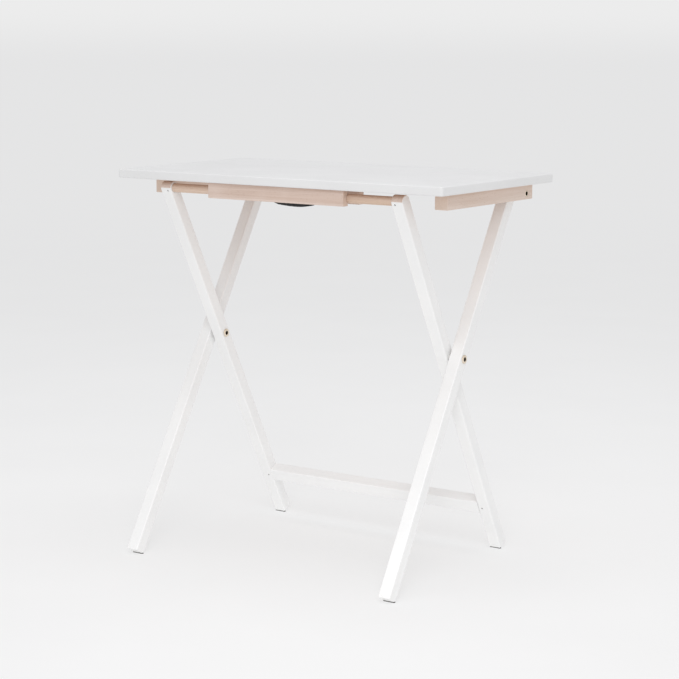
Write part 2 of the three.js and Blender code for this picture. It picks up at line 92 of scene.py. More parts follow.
def make_camera():
    """A long lens, from the front right and a little above the top."""
    forward = Vector(
        (
            -math.sin(CAMERA_YAW) * math.cos(CAMERA_PITCH),
            math.cos(CAMERA_YAW) * math.cos(CAMERA_PITCH),
            -math.sin(CAMERA_PITCH),
        )
    )
    level = Vector((math.cos(CAMERA_YAW), math.sin(CAMERA_YAW), 0))
    upright = level.cross(forward)
    right = math.cos(CAMERA_ROLL) * level + math.sin(CAMERA_ROLL) * upright
    up = -math.sin(CAMERA_ROLL) * level + math.cos(CAMERA_ROLL) * upright
    data = bpy.data.cameras.new("camera")
    data.lens = CAMERA_LENS
    data.sensor_width = SENSOR_WIDTH
    data.clip_end = CAMERA_REACH
    camera = bpy.data.objects.new("camera", data)
    camera.matrix_world = axes(CAMERA_PLACE, right, up, -forward)
    bpy.context.scene.collection.objects.link(camera)
    bpy.context.scene.camera = camera


def axes(origin, x_axis, y_axis, z_axis):
    """The matrix that puts a local frame at origin, with these directions."""
    matrix = Matrix((x_axis, y_axis, z_axis)).transposed().to_4x4()
    matrix.translation = origin
    return matrix


# ------------------------------------------------------------------ materials

# Cycles per metre across the grain and along it, for each layer of a wood's figure.
PAINT_PORES = (420, 9)
PAINT_GRAIN = (70, 2.2)
BEECH_BANDS = (55, 1.6)
BEECH_LINES = (420, 6)
BEECH_FLECKS = (1100, 190)
METAL_SCRATCHES = (2500, 2500)

# Cycles per metre of what has no direction.
ROLLER_MARKS = 900
PAINT_CLOUD = 9
BEECH_CLOUD = 14
METAL_PATCHES = 260
PLASTIC_GRAIN = 2600
PLASTIC_FLOW = 45

BEECH_DARK = (0.68, 0.545, 0.47)
BEECH_LIGHT = (0.775, 0.655, 0.59)
BEECH_LINE = (0.59, 0.46, 0.385)
BEECH_FLECK = (0.47, 0.33, 0.25)
BEECH_PALE = (0.80, 0.69, 0.625)
BEECH_END = (0.68, 0.55, 0.46)

PAINT_GLOSS = 0.45
BEECH_GLOSS = 0.15
BLACK_GLOSS = 0.05


class Nodes:
    """Short calls for building one material's node tree."""

    def __init__(self, name):
        self.material = bpy.data.materials.new(name)
        self.material.use_nodes = True
        self.tree = self.material.node_tree
        self.shader = self.tree.nodes["Principled BSDF"]
        coordinates = self.add("ShaderNodeTexCoord")
        self.place = coordinates.outputs["Object"]
        self.normal = coordinates.outputs["Normal"]

    def add(self, kind, **settings):
        node = self.tree.nodes.new(kind)
        for key, value in settings.items():
            setattr(node, key, value)
        return node

    def link(self, source, target):
        self.tree.links.new(source, target)

    def feed(self, node, values):
        for key, value in values.items():
            socket = node.inputs[key]
            if isinstance(value, bpy.types.NodeSocket):
                self.link(value, socket)
            else:
                socket.default_value = value

    def stretched(self, across, along):
        """Object coordinates with this many cycles per metre across and along the grain."""
        node = self.add("ShaderNodeMapping")
        self.feed(node, {"Vector": self.place, "Scale": (across, across, along)})
        return node.outputs["Vector"]

    def noise(self, vector, scale=1.0, detail=2.0, roughness=0.5, distortion=0.0):
        node = self.add("ShaderNodeTexNoise")
        values = {"Vector": vector, "Scale": scale, "Detail": detail}
        values.update({"Roughness": roughness, "Distortion": distortion})
        self.feed(node, values)
        return node.outputs["Fac"]

    def ramp(self, value, low, high, start=0.0, end=1.0, smooth=True):
        """Maps value from [start, end] to [low, high]."""
        node = self.add("ShaderNodeMapRange")
        node.interpolation_type = "SMOOTHSTEP" if smooth else "LINEAR"
        values = {"Value": value, "From Min": start, "From Max": end, "To Min": low, "To Max": high}
        self.feed(node, values)
        return node.outputs["Result"]

    def math(self, operation, a, b=0.0):
        node = self.add("ShaderNodeMath", operation=operation)
        self.feed(node, {0: a, 1: b})
        return node.outputs["Value"]

    def mix(self, factor, a, b):
        """A colour between a and b."""
        node = self.add("ShaderNodeMix", data_type="RGBA")
        colours = [socket for socket in node.inputs if socket.type == "RGBA"]
        node.inputs["Factor"].default_value = 0.5
        self.feed(node, {"Factor": factor})
        for socket, value in zip(colours, (a, b)):
            if isinstance(value, bpy.types.NodeSocket):
                self.link(value, socket)
            else:
                socket.default_value = (*value, 1.0)
        return [socket for socket in node.outputs if socket.type == "RGBA"][0]

    def bump(self, height, depth, strength=1.0, below=None):
        """Raises the surface by height times depth metres."""
        node = self.add("ShaderNodeBump")
        self.feed(node, {"Height": height, "Distance": depth, "Strength": strength})
        if below is not None:
            self.link(below, node.inputs["Normal"])
        return node.outputs["Normal"]

    def parts(self, vector):
        node = self.add("ShaderNodeSeparateXYZ")
        self.link(vector, node.inputs[0])
        return node.outputs


def painted_wood(name, dark, light, grain_tone):
    """Satin white paint, rolled on, over a grain that shows through faintly."""
    n = Nodes(name)
    pores = n.noise(n.stretched(*PAINT_PORES), detail=3, roughness=0.6)
    grain = n.noise(n.stretched(*PAINT_GRAIN), detail=4, roughness=0.55, distortion=0.4)
    roller = n.noise(n.place, scale=ROLLER_MARKS, detail=2)
    cloud = n.noise(n.place, scale=PAINT_CLOUD, detail=3)
    tone = n.mix(n.ramp(cloud, 0.0, 1.0, 0.35, 0.65), dark, light)
    toned = n.mix(n.ramp(grain, 0.0, 0.35, 0.5, 0.75), tone, grain_tone)
    n.link(toned, n.shader.inputs["Base Color"])
    gloss = n.ramp(roller, 0.36, 0.5, 0.3, 0.7)
    n.link(n.math("ADD", gloss, n.ramp(grain, -0.03, 0.05)), n.shader.inputs["Roughness"])
    fine = n.bump(roller, 0.02 * MM, 0.5)
    woody = n.bump(pores, 0.05 * MM, 0.35, below=fine)
    n.link(n.bump(grain, 0.12 * MM, 0.4, below=woody), n.shader.inputs["Normal"])
    n.shader.inputs["Specular IOR Level"].default_value = PAINT_GLOSS
    return n.material


def bare_beech(name, depth, warmth=1.0):
    """Pale unfinished beech: long soft grain, short dark flecks, darker end grain. A depth above 1
    makes it darker, and a warmth above 1 makes it more orange."""
    n = Nodes(name)

    def tone(colour):
        red, green, blue = colour
        return red**depth, green ** (depth * warmth), blue ** (depth * warmth**2)

    bands = n.noise(n.stretched(*BEECH_BANDS), detail=5, roughness=0.6, distortion=0.5)
    lines = n.noise(n.stretched(*BEECH_LINES), detail=4, roughness=0.65)
    flecks = n.noise(n.stretched(*BEECH_FLECKS), detail=1)
    cloud = n.noise(n.place, scale=BEECH_CLOUD, detail=2)
    banded = n.mix(n.ramp(bands, 0.0, 1.0, 0.3, 0.7), tone(BEECH_DARK), tone(BEECH_LIGHT))
    lined = n.mix(n.ramp(lines, 0.5, 0.0, 0.32, 0.6), banded, tone(BEECH_LINE))
    flecked = n.mix(n.ramp(flecks, 0.0, 0.5, 0.62, 0.76), lined, tone(BEECH_FLECK))
    clouded = n.mix(n.ramp(cloud, 0.0, 0.4, 0.4, 0.7), flecked, tone(BEECH_PALE))
    end = n.ramp(n.math("ABSOLUTE", n.parts(n.normal)[2]), 0.0, 0.45, 0.75, 0.95)
    n.link(n.mix(end, clouded, tone(BEECH_END)), n.shader.inputs["Base Color"])
    n.link(n.ramp(lines, 0.72, 0.58, 0.3, 0.7), n.shader.inputs["Roughness"])
    fibres = n.bump(lines, 0.08 * MM, 0.6)
    n.link(n.bump(flecks, 0.04 * MM, 0.4, below=fibres), n.shader.inputs["Normal"])
    n.shader.inputs["Specular IOR Level"].default_value = BEECH_GLOSS
    return n.material


def turned_metal(name, dark, light, rough_low, rough_high):
    """Turned metal with fine scratches and dull patches."""
    n = Nodes(name)
    scratches = n.noise(n.stretched(*METAL_SCRATCHES), detail=3)
    patches = n.noise(n.place, scale=METAL_PATCHES, detail=3)
    n.link(n.mix(n.ramp(patches, 0.0, 1.0, 0.35, 0.65), dark, light), n.shader.inputs["Base Color"])
    n.link(n.ramp(scratches, rough_low, rough_high, 0.3, 0.7), n.shader.inputs["Roughness"])
    n.link(n.bump(scratches, 0.01 * MM, 0.5), n.shader.inputs["Normal"])
    n.shader.inputs["Metallic"].default_value = 1.0
    return n.material


def moulded_plastic(name, dark, light, rough_low, rough_high, gloss=0.5):
    """Moulded plastic with a fine spark-eroded grain."""
    n = Nodes(name)
    grain = n.noise(n.place, scale=PLASTIC_GRAIN, detail=2)
    flow = n.noise(n.place, scale=PLASTIC_FLOW, detail=2, distortion=0.6)
    n.link(n.mix(n.ramp(flow, 0.0, 1.0, 0.35, 0.65), dark, light), n.shader.inputs["Base Color"])
    n.link(n.ramp(grain, rough_low, rough_high, 0.3, 0.7), n.shader.inputs["Roughness"])
    n.link(n.bump(grain, 0.02 * MM, 0.5), n.shader.inputs["Normal"])
    n.shader.inputs["Specular IOR Level"].default_value = gloss
    return n.material


# The boards differ in tone, partly as real ones do and partly as painted light and shade: the cleats, whose faces
# lie in shade under the top, are made paler, the front rail, which faces the key light, darker, and the underside
# darker for painted shade under the top.
# The legs' rounded ends: partly bare wood, partly painted warm shade under the top.
LEG_END_WOOD_AND_SHADE = bare_beech("bare_wood", 1.0)
CLEAT_WOOD = bare_beech("cleat_wood", 0.71, 1.06)
RAIL_WOOD = bare_beech("rail_wood", 1.15)
DOWEL_WOOD = bare_beech("dowel_wood", 1.08, 1.1)
# The underside's wood is darker than the rest: partly its own tone, partly painted shade under the top.
UNDERSIDE = bare_beech("underside", 1.65, 1.05)
LEG_PAINT = painted_wood(
    "leg_paint",
    dark=(0.87, 0.87, 0.867),
    light=(0.90, 0.898, 0.893),
    grain_tone=(0.84, 0.832, 0.82),
)
TOP_PAINT = painted_wood(
    "top_paint",
    dark=(0.77, 0.77, 0.77),
    light=(0.79, 0.79, 0.79),
    grain_tone=(0.75, 0.75, 0.748),
)
BRASS = turned_metal("brass", (0.78, 0.66, 0.52), (0.91, 0.81, 0.68), 0.22, 0.36)
STEEL = turned_metal("steel", (0.20, 0.19, 0.18), (0.36, 0.35, 0.34), 0.3, 0.5)
# Painted shade: a near-black metal for the walls, floors and countersinks of the hex sockets.
SOCKET_SHADE = turned_metal("socket", (0.03, 0.022, 0.016), (0.06, 0.045, 0.03), 0.5, 0.8)
BLACK_PLASTIC = moulded_plastic(
    "black_plastic", (0.008, 0.008, 0.008), (0.014, 0.014, 0.014), 0.55, 0.7, BLACK_GLOSS
)
WHITE_PLASTIC = moulded_plastic(
    "white_plastic", (0.74, 0.73, 0.70), (0.8, 0.79, 0.77), 0.35, 0.5
)
# Near-black pads: partly the glides' own colour, partly painted contact shadow under the feet.
PAD_AND_SHADOW = moulded_plastic("pad", (0.05, 0.046, 0.042), (0.085, 0.078, 0.07), 0.8, 0.95)
SLOT_MATERIAL = {
    "white_paint": LEG_PAINT,
    "brass": BRASS,
    "steel": STEEL,
    "black_plastic": BLACK_PLASTIC,
    "white_plastic": WHITE_PLASTIC,
    "pad": PAD_AND_SHADOW,
}
NODE_MATERIAL = {
    "tabletop": TOP_PAINT,
    "cleat_left": CLEAT_WOOD,
    "cleat_right": CLEAT_WOOD,
    "catch_rail_front": RAIL_WOOD,
    "catch_rail_rear": RAIL_WOOD,
    "latch_dowel": DOWEL_WOOD,
}

# ------------------------------------------------------------------ meshes

SHARP_ANGLE = math.radians(38)
WELD = 1e-4 * MM  # points closer than this are one
ON_AXIS = 1e-4 * MM  # a profile's point nearer than this to the axis is on it
SHIFT_SHARES = (1.0, 0.7, 1.3)  # of a grain's shift, along the piece's own X, Y and Z


def finish_piece(node, bm, place, shift=0.0):
    """Makes the mesh into the piece that stands for a CAD node. shift moves its grain along."""
    frame["nodes"][node].name = node + "_cad"
    move = Matrix.Translation([share * shift for share in SHIFT_SHARES])
    bmesh.ops.transform(bm, matrix=move, verts=bm.verts)
    bmesh.ops.recalc_face_normals(bm, faces=bm.faces)
    if bm.calc_volume(signed=True) < 0:
        bmesh.ops.reverse_faces(bm, faces=bm.faces)
    mesh = bpy.data.meshes.new(node)
    bm.to_mesh(mesh)
    bm.free()
    piece = bpy.data.objects.new(node, mesh)
    bpy.context.scene.collection.objects.link(piece)
    piece.matrix_world = place @ move.inverted()
    mesh.materials.append(NODE_MATERIAL.get(node) or SLOT_MATERIAL[NODE_SLOT[node]])
    return piece


def settle(piece, node):
    """Smooth shading, then body and CAD node."""
    bm = bmesh.new()
    bm.from_mesh(piece.data)
    bmesh.ops.remove_doubles(bm, verts=bm.verts, dist=WELD)
    for face in bm.faces:
        face.smooth = True
    for edge in bm.edges:
        if len(edge.link_faces) == 2:
            edge.smooth = edge.calc_face_angle(0) < SHARP_ANGLE
    bm.to_mesh(piece.data)
    bm.free()
    normals = piece.modifiers.new("normals", "WEIGHTED_NORMAL")
    normals.keep_sharp = True
    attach(piece, NODE_BODY[node])
    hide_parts(node)


def arc(centre, radius, start, end, steps):
    """Points round a centre, from one angle to the other."""
    found = []
    for i in range(steps + 1):
        angle = start + (end - start) * i / steps
        found.append((centre[0] + radius * math.cos(angle), centre[1] + radius * math.sin(angle)))
    return found


def rounded_rectangle(half_y, half_z, radius, steps):
    """An outline in local (Y, Z) about the origin."""
    outline = []
    for i, (sy, sz) in enumerate(((1, 1), (-1, 1), (-1, -1), (1, -1))):
        corner = (sy * (half_y - radius), sz * (half_z - radius))
        outline += arc(corner, radius, i * math.pi / 2, (i + 1) * math.pi / 2, steps)
    return outline


def prism(outline, low, high, rounding=0.0, segments=3, upright=()):
    """An outline in local (Y, Z), pushed along local X. The end edges are rounded, and so are
    the edges along X whose corners are listed in upright."""
    bm = bmesh.new()
    bottom = [bm.verts.new((low, y, z)) for y, z in outline]
    top = [bm.verts.new((high, y, z)) for y, z in outline]
    count = len(outline)
    caps = [bm.faces.new(list(reversed(bottom))), bm.faces.new(top)]
    for i in range(count):
        j = (i + 1) % count
        bm.faces.new((bottom[i], bottom[j], top[j], top[i]))
    bmesh.ops.recalc_face_normals(bm, faces=bm.faces)
    if rounding:
        edges = {edge for cap in caps for edge in cap.edges}
        for i in upright:
            edges.update(e for e in bottom[i].link_edges if e.other_vert(bottom[i]) is top[i])
        bmesh.ops.bevel(
            bm,
            geom=list(edges),
            offset=rounding,
            offset_type="OFFSET",
            segments=segments,
            profile=0.5,
            affect="EDGES",
            clamp_overlap=True,
        )
    return bm


def soften(bm, edges, size, segments):
    """Rounds some edges."""
    bmesh.ops.bevel(
        bm, geom=edges, offset=size, segments=segments, profile=0.5, affect="EDGES"
    )


def lathe(profile, steps=48):
    """A profile of (radius, distance) pairs, revolved about local Z. It starts and ends on the
    axis, or closes on itself."""
    bm = bmesh.new()
    rings = []
    for radius, distance in profile:
        if radius < ON_AXIS:
            rings.append([bm.verts.new((0, 0, distance))])
            continue
        ring = []
        for i in range(steps):
            angle = 2 * math.pi * i / steps
            x, y = radius * math.cos(angle), radius * math.sin(angle)
            ring.append(bm.verts.new((x, y, distance)))
        rings.append(ring)
    pairs = list(zip(rings, rings[1:]))
    if len(rings[0]) > 1:
        pairs.append((rings[-1], rings[0]))
    for a, b in pairs:
        for i in range(steps):
            j = (i + 1) % steps
            if len(a) == 1 and len(b) > 1:
                bm.faces.new((a[0], b[j], b[i]))
            elif len(b) == 1 and len(a) > 1:
                bm.faces.new((a[i], a[j], b[0]))
            elif len(a) > 1:
                bm.faces.new((a[i], a[j], b[j], b[i]))
    bmesh.ops.recalc_face_normals(bm, faces=bm.faces)
    return bm


def rod(radius, length, steps=40):
    """A plain round cutter along local Z, centred."""
    half = length / 2
    return lathe([(0, -half), (radius, -half), (radius, half), (0, half)], steps)


def turned_bar(half, radius, soft):
    """The lathe profile of a round bar, centred, with the edges of its ends cut off by soft."""
    profile = [(0, -half), (radius - soft, -half), (radius, -half + soft)]
    profile += [(radius, half - soft), (radius - soft, half), (0, half)]
    return profile


def combine(piece, tools, operation):
    """Joins each (mesh, place) to the piece, or cuts it out."""
    made = []
    for bm, place in tools:
        mesh = bpy.data.meshes.new("tool")
        bm.to_mesh(mesh)
        bm.free()
        tool = bpy.data.objects.new("tool", mesh)
        tool.matrix_world = place
        bpy.context.scene.collection.objects.link(tool)
        made.append(tool)
        step = piece.modifiers.new("step", "BOOLEAN")
        step.operation = operation
        step.solver = "EXACT"
        step.object = tool
    bpy.context.view_layer.update()
    seen = piece.evaluated_get(bpy.context.evaluated_depsgraph_get())
    combined = bpy.data.meshes.new_from_object(seen)
    piece.modifiers.clear()
    piece.data = combined
    for tool in made:
        bpy.data.objects.remove(tool)


def carve(piece, cutters):
    """Cuts each (mesh, place) out of the piece."""
    combine(piece, cutters, "DIFFERENCE")


def along_x(y, z, x=0.0):
    """A frame whose local Z runs along +X, through a point of the side view."""
    return axes(Vector((x, y, z)), AXIS_Y, AXIS_Z, AXIS_X)


# ------------------------------------------------------------------ legs

EDGE = 2.0 * MM  # rounding of the legs' edges
EDGE_SEGMENTS = 5
LEG_END_STEPS = 20  # round a leg's half-round top
FOOT_FLAT = 5 * MM  # flat on the lower corner of a leg's foot, along Y
AIR = 0.3 * MM  # between a bar or bolt and its hole
OUT = 1 * MM  # how far a cutter stands out of the face it cuts
BARREL_RADIUS = 4 * MM
TENON_RADIUS = 6 * MM
SOCKET_DEPTH = 14 * MM + AIR  # how far a bar reaches into a leg
NAIL_RADIUS = 1.0 * MM
NAIL_HEAD_RADIUS = 1.4 * MM
NAIL_LENGTH = 18 * MM
NAIL_HOLE_RADIUS = NAIL_RADIUS + 0.15 * MM
NAIL_HEAD_HOLE_RADIUS = NAIL_HEAD_RADIUS + 0.1 * MM
NAIL_HEAD_HOLE_DEPTH = 1.7 * MM
NAIL_HOLE_DEPTH = NAIL_LENGTH + 0.5 * MM
NAIL_SUNK = 0.15 * MM  # below the leg's face
NAIL_SOFT = 0.25 * MM  # cut off the edge of its head
NAIL_POINT = 2.5 * MM
NAIL_STEPS = 24

# How far a piece's grain is shifted, in metres. A pair has a middle value, and the change from it
# to each side.
OUTER_LEG_SHIFT = (0.31, 0.17)
INNER_LEG_SHIFT = (0.83, 0.19)
CLEAT_SHIFT = (0.13, 0.29)
TABLETOP_SHIFT = 0.21
DOWEL_SHIFT = 0.4
STRETCHER_SHIFT = 0.55
FRONT_RAIL_SHIFT = 0.77
REAR_RAIL_SHIFT = 0.95


def shifted(shift, side):
    """The shift of the piece on one side."""
    return shift[0] + shift[1] * side


def lean_to(pivot):
    """A leg's lean from the vertical: its centre line runs through its upper pivot and PIVOT."""
    return math.atan2(pivot.y - PIVOT.y, pivot.z - PIVOT.z)


def side_axes(lean):
    """Directions across the leg, to the rear, and up along it."""
    across = Vector((0, math.cos(lean), -math.sin(lean)))
    up = Vector((0, math.sin(lean), math.cos(lean)))
    return across, up


INNER_LEAN = lean_to(DOWEL)
INNER_ACROSS, INNER_UP = side_axes(INNER_LEAN)
HALF_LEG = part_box("inner_leg_right")[1].z - DOWEL.z


def foot_outline(half, lean, drop):
    """A leg's square-cut foot in its own frame, with the lower corner flattened. Its lower edge
    faces the middle of the table, and drop is the height from the foot's flat to the pivot."""
    side = math.copysign(1, lean)
    heel = (side * half, (side * half * math.sin(lean) - drop) / math.cos(lean))
    end = heel[1] - FOOT_FLAT * abs(math.sin(lean))
    flat_end = (side * (half - FOOT_FLAT * math.cos(lean)), end)
    toe = (-side * half, end)
    return [toe, flat_end, heel] if side > 0 else [heel, flat_end, toe]


def make_leg(node, pivot, side, bores, bars, shift):
    """bores are the bolts' points, and bars are the (point, radius) of the sockets."""
    low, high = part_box(node)
    lean = lean_to(pivot)
    across, up = side_axes(lean)
    centre_x = (low.x + high.x) / 2
    reach = (high.x - low.x) / 2
    place = axes(Vector((centre_x, pivot.y, pivot.z)), AXIS_X, across, up)
    half = high.z - pivot.z
    foot = foot_outline(half, lean, pivot.z - low.z)
    outline = foot + arc((0, 0), half, 0, math.pi, LEG_END_STEPS)
    toe = 0 if lean > 0 else 2
    bm = prism(outline, -reach, reach, EDGE, EDGE_SEGMENTS, upright=(toe,))
    piece = finish_piece(node, bm, place, shift)
    wood_and_shade_above(piece, pivot, up)
    cutters = []
    for point in bores:
        bore = rod(BARREL_RADIUS + AIR, 3 * reach)
        cutters.append((bore, along_x(point.y, point.z, centre_x)))
    inner_face = low.x if side > 0 else high.x
    for point, radius in bars:
        socket = rod(radius + AIR, 2 * SOCKET_DEPTH, BAR_STEPS)
        cutters.append((socket, along_x(point.y, point.z, inner_face)))
        cutters += nail_hole(point, side)
    carve(piece, cutters)
    settle(piece, node)


WOOD_AND_SHADE_RISE = 5 * MM  # from this far above a leg's upper pivot, its end takes the wood colour: partly bare end, partly painted warm shade under the top
SIDE_FACING = 0.6  # the share of X in a normal from which a face counts as a leg's side


def wood_and_shade_above(piece, pivot, up):
    """The rounded end of a leg takes the bare wood colour, partly as an unpainted end and partly as painted warm
    shade from the top's underside, and its two sides stay painted.
    """
    piece.data.materials.append(LEG_END_WOOD_AND_SHADE)
    turn = piece.matrix_world.to_3x3()
    for face in piece.data.polygons:
        rise = (piece.matrix_world @ face.center - pivot).dot(up)
        if rise > WOOD_AND_SHADE_RISE and abs((turn @ face.normal).x) < SIDE_FACING:
            face.material_index = 1


def nail_place(point, side):
    """On the front face of an inner leg, over the end of a bar, pointing out of the face."""
    inner_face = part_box("inner_leg_right")[0].x
    x = side * (inner_face + SOCKET_DEPTH / 2)
    origin = Vector((x, point.y, point.z)) - INNER_ACROSS * HALF_LEG
    return axes(origin, AXIS_X, INNER_UP, -INNER_ACROSS)


def nail_hole(point, side):
    """The holes for a nail's shank and for its head."""
    place = nail_place(point, side)
    shank = rod(NAIL_HOLE_RADIUS, 2 * NAIL_HOLE_DEPTH, NAIL_STEPS)
    head = rod(NAIL_HEAD_HOLE_RADIUS, 2 * NAIL_HEAD_HOLE_DEPTH, NAIL_STEPS)
    return [(shank, place), (head, place)]


def make_legs():
    """The outer pair is bored for two bolts, the inner pair for one and for the bars' ends."""
    for hand, side in SIDES.items():
        shift = shifted(OUTER_LEG_SHIFT, side)
        make_leg(f"outer_leg_{hand}", HINGE, side, [PIVOT, HINGE], [], shift)
        bars = [(DOWEL, DOWEL_RADIUS), (STRETCHER, TENON_RADIUS)]
        shift = shifted(INNER_LEG_SHIFT, side)
        make_leg(f"inner_leg_{hand}", DOWEL, side, [PIVOT], bars, shift)


def make_nails():
    """Small nails through the inner legs into the crossbar and the stretcher."""
    edge = NAIL_HEAD_RADIUS - NAIL_SOFT
    profile = [
        (0, -NAIL_LENGTH),
        (0.3 * MM, -NAIL_LENGTH + 0.5 * MM),
        (NAIL_RADIUS, -NAIL_LENGTH + NAIL_POINT),
        (NAIL_RADIUS, -1.5 * MM),
        (NAIL_HEAD_RADIUS, -1.1 * MM),
        (NAIL_HEAD_RADIUS, -NAIL_SUNK - NAIL_SOFT),
        (edge, -NAIL_SUNK),
        (0, -NAIL_SUNK),
    ]
    for hand, side in SIDES.items():
        for kind, point in (("dowel_pin", DOWEL), ("stretcher_pin", STRETCHER)):
            node = f"{kind}_{hand}"
            nail = lathe(profile, NAIL_STEPS)
            settle(finish_piece(node, nail, nail_place(point, side)), node)


PAD_CORNER = 0.8 * MM
PAD_EDGE = 0.25 * MM


def make_pads():
    """A thin strip under each foot, with rounded corners: a near-black glide whose dark colour is also painted
    contact shadow where the foot meets the floor.
    """
    for end in ("front", "rear"):
        for hand in SIDES:
            node = f"foot_pad_{end}_{hand}"
            half = (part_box(node)[1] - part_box(node)[0]) / 2
            outline = rounded_rectangle(half.x, half.y, PAD_CORNER, 4)
            bm = prism(outline, -half.z, half.z, PAD_EDGE, 2)
            settle(finish_piece(node, bm, axes(middle(node), AXIS_Z, AXIS_X, AXIS_Y)), node)


# ------------------------------------------------------------------ bars between the legs

BAR_SOFT = 0.8 * MM  # cut off the edges of a bar's ends
BAR_STEPS = 56
TENON_STEPS = 48


def make_dowel():
    """The bare crossbar, nailed at both ends."""
    node = "latch_dowel"
    low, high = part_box(node)
    half = (high.x - low.x) / 2
    bm = lathe(turned_bar(half, DOWEL_RADIUS, BAR_SOFT), BAR_STEPS)
    piece = finish_piece(node, bm, along_x(DOWEL.y, DOWEL.z), DOWEL_SHIFT)
    carve(piece, [nail_hole(DOWEL, side)[0] for side in SIDES.values()])
    settle(piece, node)


STRETCHER_ACROSS = 21 * MM  # square to the leg
STRETCHER_ALONG = 25 * MM  # along the leg
STRETCHER_EDGE = 1.8 * MM


def make_stretcher():
    """A bar between the inner legs, square to them, with a round tenon on each end."""
    node = "stretcher"
    half_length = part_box("inner_leg_right")[0].x - AIR
    wide, tall = STRETCHER_ALONG / 2, STRETCHER_ACROSS / 2
    outline = [(-wide, -half_length), (wide, -half_length)]
    outline += [(wide, half_length), (-wide, half_length)]
    bm = prism(outline, -tall, tall)
    long_edges = []
    for edge in bm.edges:
        a, b = edge.verts
        if abs(a.co.z - b.co.z) > half_length:
            long_edges.append(edge)
    soften(bm, long_edges, STRETCHER_EDGE, 4)
    place = axes(Vector((0, STRETCHER.y, STRETCHER.z)), INNER_ACROSS, INNER_UP, AXIS_X)
    piece = finish_piece(node, bm, place, STRETCHER_SHIFT)
    tenon = lathe(turned_bar(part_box(node)[1].x, TENON_RADIUS, BAR_SOFT), TENON_STEPS)
    combine(piece, [(tenon, along_x(STRETCHER.y, STRETCHER.z))], "UNION")
    carve(piece, [nail_hole(STRETCHER, side)[0] for side in SIDES.values()])
    settle(piece, node)


# ------------------------------------------------------------------ the top

TOP_CORNER_RADIUS = 5 * MM
TOP_EDGE = 2.5 * MM
DOWNWARD = 0.99  # the share of straight down in a normal from which a face counts as underside
SCREW_HOLE_RADIUS = 2.15 * MM
SCREWS = [node for node in NODE_SLOT if "_screw_" in node]


def upright_at(node, z):
    """An upright frame on a screw's axis, at this height."""
    centre = middle(node)
    return Matrix.Translation((centre.x, centre.y, z))


def make_tabletop():
    """Painted on its face and edges, and bare underneath, where the screws enter it."""
    node = "tabletop"
    low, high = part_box(node)
    half = (high - low) / 2
    outline = rounded_rectangle(half.y, half.x, TOP_CORNER_RADIUS, 10)
    bm = prism(outline, -half.z, half.z, TOP_EDGE, 5)
    place = axes(middle(node), AXIS_Z, AXIS_Y, -AXIS_X)
    piece = finish_piece(node, bm, place, TABLETOP_SHIFT)
    piece.data.materials.append(UNDERSIDE)
    # Downward faces take the darker underside wood, which is partly painted shade under the top.
    for face in piece.data.polygons:
        if face.normal.x < -DOWNWARD:
            face.material_index = 1
    holes = []
    for screw in SCREWS:
        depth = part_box(screw)[1].z + AIR - low.z
        hole = rod(SCREW_HOLE_RADIUS, 2 * depth, 24)
        holes.append((hole, upright_at(screw, low.z)))
    carve(piece, holes)
    settle(piece, node)


def slab(node, rounding, grain, shift, cutters):
    """A straight bar that fills the CAD node's box, with its grain along one axis."""
    low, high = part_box(node)
    half = (high - low) / 2
    if grain == "x":
        place = axes(middle(node), AXIS_Y, AXIS_Z, AXIS_X)
        size = (half.y, half.z, half.x)
    else:
        place = axes(middle(node), AXIS_Z, AXIS_X, AXIS_Y)
        size = (half.z, half.x, half.y)
    deep, wide, tall = size
    outline = [(-wide, -tall), (wide, -tall), (wide, tall), (-wide, tall)]
    bm = prism(outline, -deep, deep, rounding, 3, upright=(0, 1, 2, 3))
    piece = finish_piece(node, bm, place, shift)
    carve(piece, cutters)
    settle(piece, node)


HEAD_THICKNESS = 1.6 * MM
HEAD_RECESS = HEAD_THICKNESS + AIR
HINGE_HEAD_RADIUS = 5.5 * MM
PIVOT_HEAD_RADIUS = 7 * MM
SHANK_RADIUS = 3 * MM
CLEAT_EDGE = 1.1 * MM


def make_cleats():
    """The bars under the ends of the top, with the hinge bolt's hole and its head's recess."""
    for hand, side in SIDES.items():
        node = f"cleat_{hand}"
        low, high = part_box(node)
        face = high.x if side > 0 else low.x
        bore = (rod(SHANK_RADIUS + AIR, 60 * MM), along_x(HINGE.y, HINGE.z, middle(node).x))
        sunk = rod(HINGE_HEAD_RADIUS + AIR, 2 * HEAD_RECESS, 56)
        recess = (sunk, along_x(HINGE.y, HINGE.z, face))
        screws = [screw_hole(f"cleat_screw_{hand}_{end}") for end in ("front", "rear")]
        slab(node, CLEAT_EDGE, "y", shifted(CLEAT_SHIFT, side), [bore, recess, *screws])


SINK_START = 0.2 * MM
SINK_DEPTH = 3.4 * MM
SINK_AIR = 0.25 * MM  # round a screw's head


def screw_hole(node):
    """The hole for a screw, with the countersink that its head sits in."""
    low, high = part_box(node)
    mouth = (high.x - low.x) / 2 + SINK_AIR
    reach = high.z - low.z + 5 * MM
    profile = [(0, -2 * OUT), (mouth, -2 * OUT), (mouth, SINK_START)]
    profile += [(SCREW_HOLE_RADIUS, SINK_DEPTH), (SCREW_HOLE_RADIUS, reach), (0, reach)]
    return lathe(profile, 32), upright_at(node, low.z)


CATCH_RADIUS = DOWEL_RADIUS + 0.7 * MM  # of the seat, with the air round the crossbar
FRONT_SLOPE = 1.85  # the catch's front wall drops this much for each unit back
REAR_SLOPE = 1.6
FRONT_WALL_ANGLE = math.atan2(1, FRONT_SLOPE) + math.pi
REAR_WALL_ANGLE = math.atan2(1, REAR_SLOPE)
RAIL_EDGE = 1.0 * MM
COVE_STEPS = 14


def on_catch(angle):
    """A point of the catch's round seat, in the side view."""
    return DOWEL.y + CATCH_RADIUS * math.cos(angle), DOWEL.z + CATCH_RADIUS * math.sin(angle)


